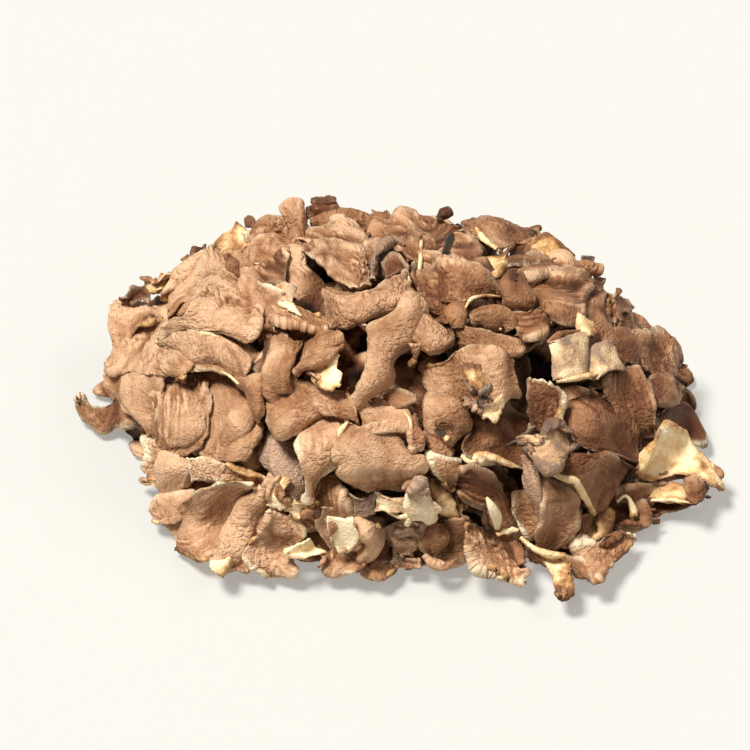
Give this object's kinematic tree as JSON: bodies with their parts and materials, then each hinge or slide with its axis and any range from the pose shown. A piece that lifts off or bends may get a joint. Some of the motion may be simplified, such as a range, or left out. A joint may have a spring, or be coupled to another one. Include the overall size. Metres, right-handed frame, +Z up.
{
  "type": "dried maitake mushroom",
  "caption": "Dried hen-of-the-woods mushroom head: a dense dome of overlapping, waved fan-shaped fronds on a short cut stem that it rests on.",
  "frame": {"origin": "centre of the flat cut under the stem, on which the head rests", "axes": "+X along the head's long side, to the right seen from the front; +Y to the back; +Z up"},
  "size_m": [0.181, 0.1235, 0.0607],
  "materials": {
    "dried_maitake": "matte, finely wrinkled dried mushroom skin, brown above and cream below"
  },
  "bodies": {
    "root": {"maitake_head": "dried_maitake"}
  },
  "joints": []
}
